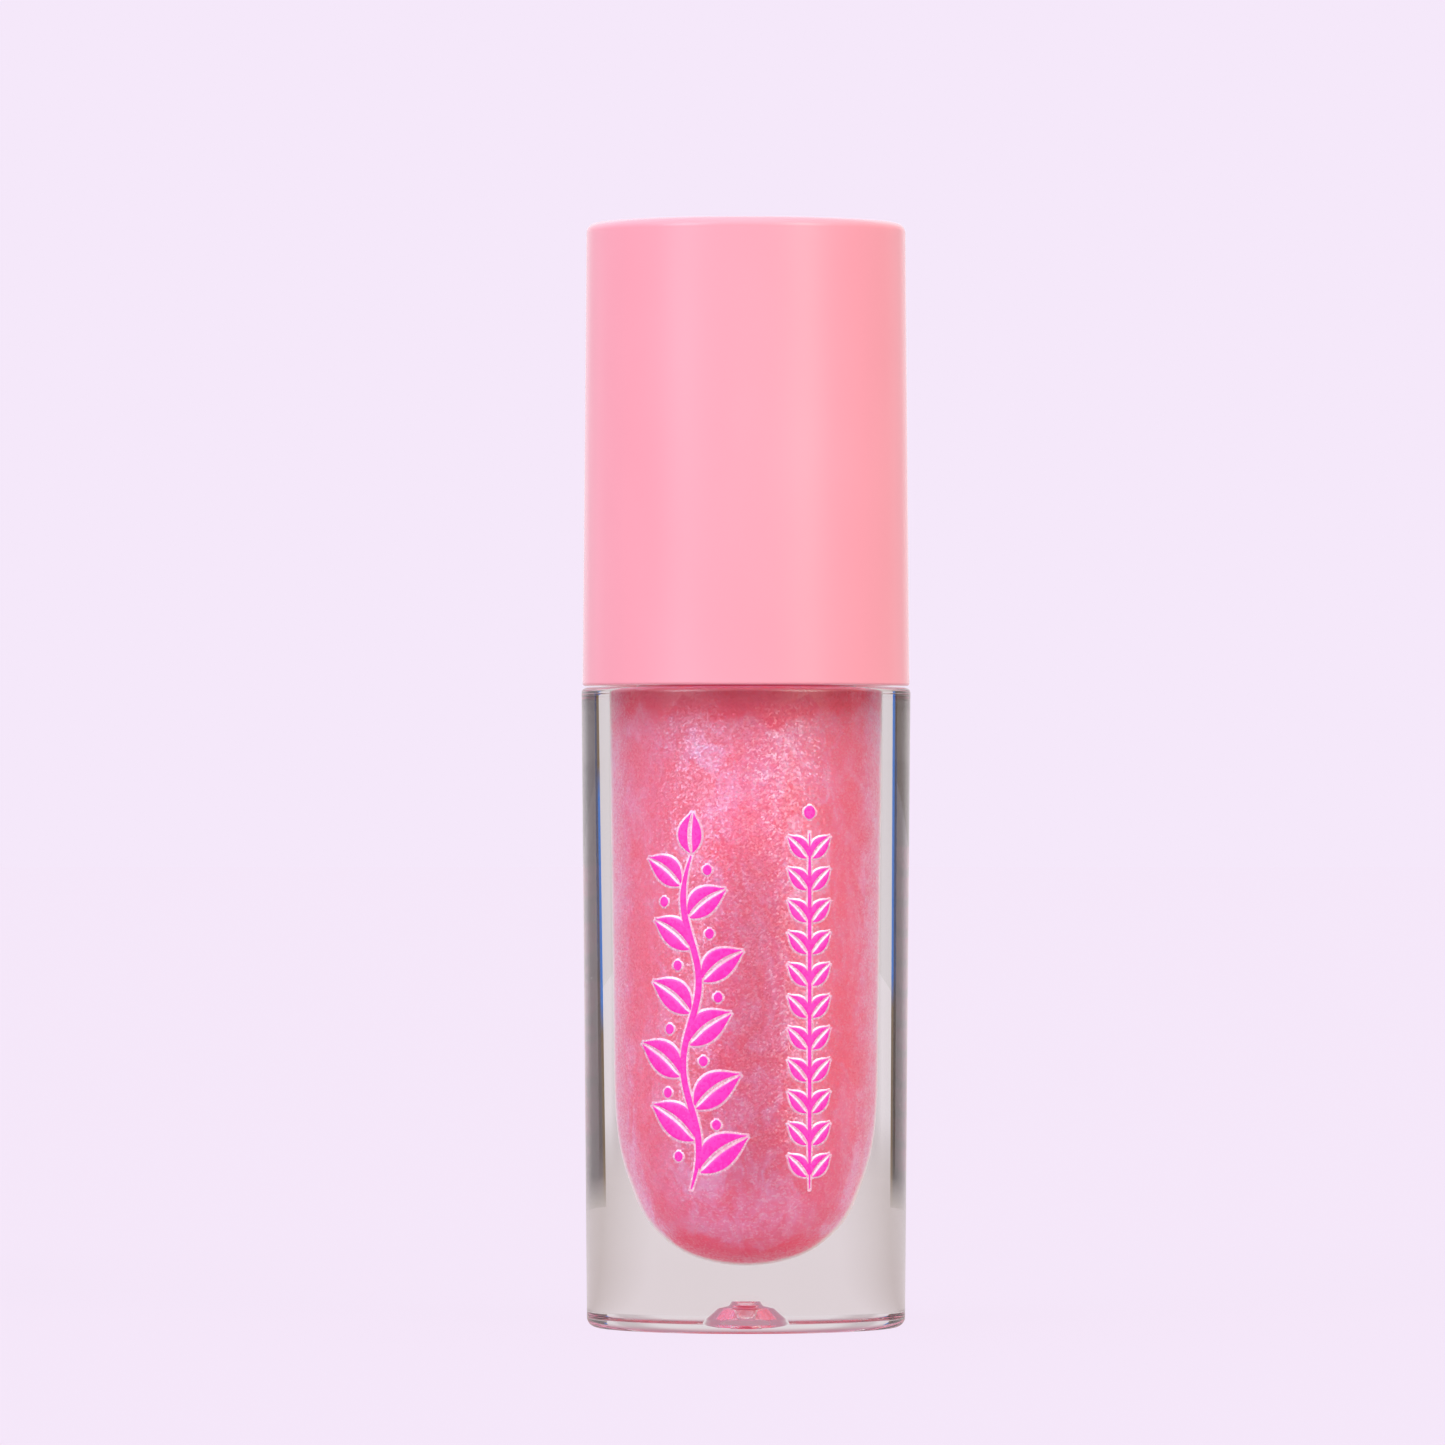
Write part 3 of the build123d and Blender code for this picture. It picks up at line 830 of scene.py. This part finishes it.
def make_flock_fibres():
    """Short wet fibres all over the flocked sleeve, leaning in clumps towards the tip."""
    a, b, c, normal, area = outer_triangles(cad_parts["flocking"])
    random = np.random.default_rng(FIBRE_SEED)
    count = int(area.sum() * FIBRES_PER_MM2)
    chosen = random.choice(len(area), count, p=area / area.sum())
    u, v = random.random(count), random.random(count)
    over = u + v > 1
    u[over], v[over] = 1 - u[over], 1 - v[over]
    a, b, c, normal = a[chosen], b[chosen], c[chosen], normal[chosen]
    root = a + u[:, None] * (b - a) + v[:, None] * (c - a)
    waves = [np.sin(root[:, (k + 1) % 3] * 5.1 + k) + np.sin(root[:, k] * 3.3) for k in range(3)]
    lean = CLUMP_LEAN * np.stack(waves, axis=1) + STRAY_LEAN * random.normal(size=(count, 3)) + TIP_LEAN
    heading = normal + FIBRE_LEAN * lean
    heading /= np.linalg.norm(heading, axis=1)[:, None]
    side = np.cross(heading, random.normal(size=(count, 3)))
    side /= np.linalg.norm(side, axis=1)[:, None]
    other = np.cross(heading, side)
    length = FIBRE_LENGTH * random.uniform(0.6, 1.0, count)[:, None]
    sunk = root - normal * FIBRE_ROOT_DEPTH
    verts = [root + heading * length]
    for k in range(3):
        turn = 2 * math.pi * k / 3
        verts.append(sunk + FIBRE_HALF_WIDTH * (math.cos(turn) * side + math.sin(turn) * other))
    verts = [tuple(p * MM) for p in np.stack(verts, axis=1).reshape(-1, 3)]
    spike = ((0, 1, 2), (0, 2, 3), (0, 3, 1), (3, 2, 1))
    faces = [[4 * i + k for k in face] for i in range(count) for face in spike]
    piece("flock_fibres", (verts, faces), flocked(), CAP_BODY, sharp_deg=80)


# ---- camera, light and stage -------------------------------------------------

IMAGE_SIDE = 1445
CAMERA_DISTANCE = 715.0
CAMERA_HEIGHT = 36.2
LENS = 266.4
AXIS_RIGHT_OF_MIDDLE = 23.5
HORIZON_BELOW_MIDDLE = 62.5
BACKDROP = srgb(245, 232, 250)
BACK_LIGHT = (0.79, 0.72, 0.76, 1.0)
BACK_CORNER_LIGHT = (0.60, 0.52, 0.55, 1.0)
SIDE_LIGHT = (0.80, 0.70, 0.73, 1.0)
FRONT_LIGHT = (0.58, 0.54, 0.57, 1.0)
OVERHEAD_LIGHT = (1.4, 1.3, 1.35, 1.0)
THROUGH_GLASS_ABOVE = (0.50, 0.25, 0.33, 1.0)
LEFT_SHADE = (0.86, 0.88, 0.94, 1.0)
RIGHT_SHADE = (0.68, 0.61, 0.46, 1.0)
BACK_SHEEN = (0.20, 0.27, 0.29)
BACK_SHEEN_SPREAD = (0.45, 0.72)
OVERHEAD_SPREAD = (0.12, 0.6)
FLOOR_BEHIND = (0.68, 0.605, 0.63, 1.0)
FLOOR_BESIDE = (0.49, 0.42, 0.41, 1.0)
FLOOR_BEFORE = (0.44, 0.37, 0.40, 1.0)
COOL_GLOW = (4.6, 4.8, 5.2)
COOL_GLOW_AZIMUTH = -46
WARM_GLOW = (5.5, 5.4, 4.8)
WARM_GLOW_AZIMUTH = 43
GLOW_ELEVATION = 20
GLOW_SHARPNESS = 26.0
FLOOR_GLOW = 0.899
FLOOR_MATT = 0.07
FLOOR_NEAR = 330
FLOOR_FAR = 900
FLOOR_REACH = 4000.0


def make_camera():
    """A long lens, level, a little under half the tube's height."""
    data = bpy.data.cameras.new("camera")
    data.lens = LENS
    data.sensor_width = 36.0
    data.shift_x = -AXIS_RIGHT_OF_MIDDLE / IMAGE_SIDE
    data.shift_y = HORIZON_BELOW_MIDDLE / IMAGE_SIDE
    data.clip_start, data.clip_end = 0.01, 20.0
    camera = bpy.data.objects.new("camera", data)
    camera.location = (0, -CAMERA_DISTANCE * MM, CAMERA_HEIGHT * MM)
    camera.rotation_euler = (math.radians(90), 0, 0)
    bpy.context.scene.collection.objects.link(camera)
    bpy.context.scene.camera = camera


def glow(g, direction, azimuth_deg, elevation_deg, colour):
    """A broad soft light in the world; azimuth is from the camera's side, right positive."""
    azimuth, elevation = math.radians(azimuth_deg), math.radians(elevation_deg)
    level = math.cos(elevation)
    centre = (math.sin(azimuth) * level, -math.cos(azimuth) * level, math.sin(elevation))
    facing = g.math("MAXIMUM", g.vector("DOT_PRODUCT", direction, centre), 0.0)
    strength = g.math("POWER", facing, GLOW_SHARPNESS)
    return g.scaled(colour, strength)


def level_light(g, backward):
    """The light that comes in level, for a direction's share of straight back (1) or front (-1)."""
    return g.ramp(
        g.range(backward, -1.0, 1.0),
        (0.43, FRONT_LIGHT),
        (0.70, SIDE_LIGHT),
        (0.75, BACK_LIGHT),
        (0.83, BACK_LIGHT),
        (0.86, BACK_CORNER_LIGHT),
        (0.91, BACK_CORNER_LIGHT),
        (0.95, BACK_LIGHT),
    )


def make_world():
    """A pale backdrop behind, an even front, and a soft glow either side of the camera.

    Rough surfaces also reflect a faint sheen from behind, and no glow shows through clear ones.
    """
    world = bpy.data.worlds.new("studio")
    bpy.context.scene.world = world
    world.use_nodes = True
    g = Graph(world.node_tree)
    direction = g.add("ShaderNodeTexCoord").outputs["Generated"]
    xyz = g.add("ShaderNodeSeparateXYZ", {0: direction})
    high = g.range(xyz.outputs[2], *OVERHEAD_SPREAD, smooth=True)
    base = g.mix(high, level_light(g, xyz.outputs[1]), OVERHEAD_LIGHT)
    left = glow(g, direction, COOL_GLOW_AZIMUTH, GLOW_ELEVATION, COOL_GLOW)
    right = glow(g, direction, WARM_GLOW_AZIMUTH, GLOW_ELEVATION, WARM_GLOW)
    shade = g.ramp(
        g.range(xyz.outputs[0], -1.0, 1.0),
        (0.05, LEFT_SHADE),
        (0.35, 1.0),
        (0.60, 1.0),
        (0.95, RIGHT_SHADE),
    )
    path = g.add("ShaderNodeLightPath").outputs
    from_back = g.range(xyz.outputs[1], *BACK_SHEEN_SPREAD, smooth=True)
    behind = g.math("MULTIPLY", g.blurred(path), from_back)
    glows = g.vector("ADD", g.vector("ADD", left, right), g.scaled(BACK_SHEEN, behind))
    lit = g.vector("ADD", g.vector("MULTIPLY", base, shade), glows)
    refracted = g.mix(high, level_light(g, xyz.outputs[1]), THROUGH_GLASS_ABOVE)
    light = g.mix(path["Is Transmission Ray"], lit, refracted)
    shader = g.add("ShaderNodeBackground", {"Color": g.mix(path["Is Camera Ray"], light, BACKDROP)})
    g.add("ShaderNodeOutputWorld", {"Surface": shader.outputs[0]})


def stage_mesh(name, verts, faces, material):
    """A flat part of the stage, from vertices in mm."""
    mesh = bpy.data.meshes.new(name)
    mesh.from_pydata([tuple(c * MM for c in vert) for vert in verts], [], faces)
    mesh.materials.append(material)
    obj = bpy.data.objects.new(name, mesh)
    bpy.context.scene.collection.objects.link(obj)
    return obj


def make_floor():
    """A wide pale floor, lit from within so that it keeps the backdrop's tone."""
    material, g = new_material("pale_floor")
    xyz = g.add("ShaderNodeSeparateXYZ", {0: g.place()})
    round_from_back = g.math("ARCTAN2", g.math("ABSOLUTE", xyz.outputs[0]), xyz.outputs[1])
    near = g.ramp(
        g.math("DIVIDE", round_from_back, math.pi),
        (0.14, FLOOR_BEHIND),
        (0.31, FLOOR_BESIDE),
        (0.47, FLOOR_BESIDE),
        (0.67, FLOOR_BEFORE),
    )
    squares = [g.math("POWER", xyz.outputs[k], 2) for k in (0, 1)]
    away = g.math("SQRT", g.math("ADD", *squares))
    far = level_light(g, g.math("DIVIDE", xyz.outputs[1], away))
    onto_tube = g.mix(g.range(away, FLOOR_NEAR, FLOOR_FAR, smooth=True), near, far)
    onto_camera = tuple(FLOOR_GLOW * c for c in BACKDROP[:3]) + (1,)
    seen = g.add("ShaderNodeLightPath").outputs["Is Camera Ray"]
    lit = g.add("ShaderNodeEmission", {"Color": g.mix(seen, onto_tube, onto_camera)})
    matt_colour = tuple(FLOOR_MATT * c for c in BACKDROP[:3]) + (1,)
    matt = g.add("ShaderNodeBsdfDiffuse", {"Color": matt_colour})
    both = g.add("ShaderNodeAddShader", {0: lit.outputs[0], 1: matt.outputs[0]})
    g.show(both.outputs[0])
    reach = FLOOR_REACH
    corners = [(-reach, -reach, 0), (reach, -reach, 0), (reach, reach, 0), (-reach, reach, 0)]
    stage_mesh("floor", corners, [[0, 1, 2, 3]], material)


CARD_DISTANCE = 118.0
CARD_BOTTOM = 5.0
CARD_TOP = 46.0
CARD_STARTS = {"left": (53.1, 51.5), "right": (48.9, 52.2)}
CARD_END = 104.0
CARD_BLACK = (0.014, 0.008, 0.008, 1.0)
LOW_CARD_EDGE = {"left": (0.03, 0.02, 0.02, 1.0), "right": (0.15, 0.115, 0.13, 1.0)}
HIGH_CARD_EDGE = (0.05, 0.03, 0.025, 1.0)
BROWN_FRINGE = (0.20, 0.13, 0.07, 1.0)
BLUE_FRINGE = (0.04, 0.19, 0.65, 1.0)
BLUE_HEIGHTS = {"left": (0.44, 1.0), "right": (0.39, 0.78)}
FRINGE_BLEND = 0.06
FRINGE_ACROSS = (0.03, 0.06)
EDGE_ACROSS = (0.06, 0.30)
CARD_FOOT = (0.0, 0.06)
CARD_GREY = (0.035, 0.026, 0.028, 1.0)
CARD_PALE = (0.7, 0.64, 0.68, 1.0)


def card_material(place, low_start, high_start):
    """Near-black card with a thin coloured fringe along its back edge, fading out at the front.

    Rough surfaces don't reflect it.
    """
    material, g = new_material(f"card_{place}")
    xyz = g.add("ShaderNodeSeparateXYZ", {0: g.place()})
    height = g.range(xyz.outputs[2], CARD_BOTTOM, CARD_TOP)
    start = g.math("MULTIPLY_ADD", height, math.radians(high_start - low_start), math.radians(low_start))
    angle = g.math("ARCTAN2", g.math("ABSOLUTE", xyz.outputs[0]), xyz.outputs[1])
    across = g.range(g.math("SUBTRACT", angle, start), 0.0, math.radians(CARD_END - high_start))
    first_blue, last_blue = BLUE_HEIGHTS[place]
    fringe = g.ramp(
        height,
        (first_blue - FRINGE_BLEND, BROWN_FRINGE),
        (first_blue, BLUE_FRINGE),
        (last_blue, BLUE_FRINGE),
        (min(1.0, last_blue + FRINGE_BLEND), BLUE_FRINGE if last_blue == 1.0 else BROWN_FRINGE),
    )
    near_edge = g.mix(height, LOW_CARD_EDGE[place], HIGH_CARD_EDGE)
    edge_end = EDGE_ACROSS[1]
    inner = g.mix(g.range(across, *EDGE_ACROSS), near_edge, CARD_BLACK)
    outer = g.ramp(across, (edge_end, CARD_BLACK), (0.7, CARD_GREY), (1.0, CARD_PALE))
    face = g.mix(g.range(across, edge_end - 0.01, edge_end), inner, outer)
    edged = g.mix(g.range(across, *FRINGE_ACROSS), fringe, face)
    colour = g.mix(g.range(height, *CARD_FOOT), FLOOR_BESIDE, edged)
    blurred = g.blurred(g.add("ShaderNodeLightPath").outputs)
    dark = g.add("ShaderNodeEmission", {"Color": colour}).outputs[0]
    unseen = g.add("ShaderNodeBsdfTransparent").outputs[0]
    g.show(g.add("ShaderNodeMixShader", {0: blurred, 1: dark, 2: unseen}).outputs[0])
    return material


def make_side_cards():
    """Dark cards left and right, out of the camera's sight, that give the clear wall its edges."""
    steps = 40
    for place, (low_start, high_start) in CARD_STARTS.items():
        side = -1 if place == "left" else 1
        verts = []
        for i in range(steps + 1):
            for z, start in ((CARD_BOTTOM, low_start), (CARD_TOP, high_start)):
                a = math.radians(start + (CARD_END - start) * i / steps)
                verts.append((side * CARD_DISTANCE * math.sin(a), CARD_DISTANCE * math.cos(a), z))
        faces = [[2 * i, 2 * i + 2, 2 * i + 3, 2 * i + 1] for i in range(steps)]
        material = card_material(place, low_start, high_start)
        card = stage_mesh(f"side_card_{place}", verts, faces, material)
        card.visible_camera = False
        card.visible_diffuse = False


def settle_rendering():
    """Plain colours, and enough bounces for clear plastic; no caustic noise."""
    scene = bpy.context.scene
    scene.view_settings.view_transform = "Standard"
    scene.view_settings.look = "None"
    cycles = scene.cycles
    cycles.max_bounces = 16
    cycles.transmission_bounces = 14
    cycles.glossy_bounces = 6
    cycles.diffuse_bounces = 3
    cycles.transparent_max_bounces = 16
    cycles.caustics_refractive = False
    cycles.caustics_reflective = False


make_camera()
make_bottle()
make_gloss()
make_overcap()
make_print()
dress_cad_nodes()
make_flock_fibres()
make_world()
make_floor()
make_side_cards()
settle_rendering()
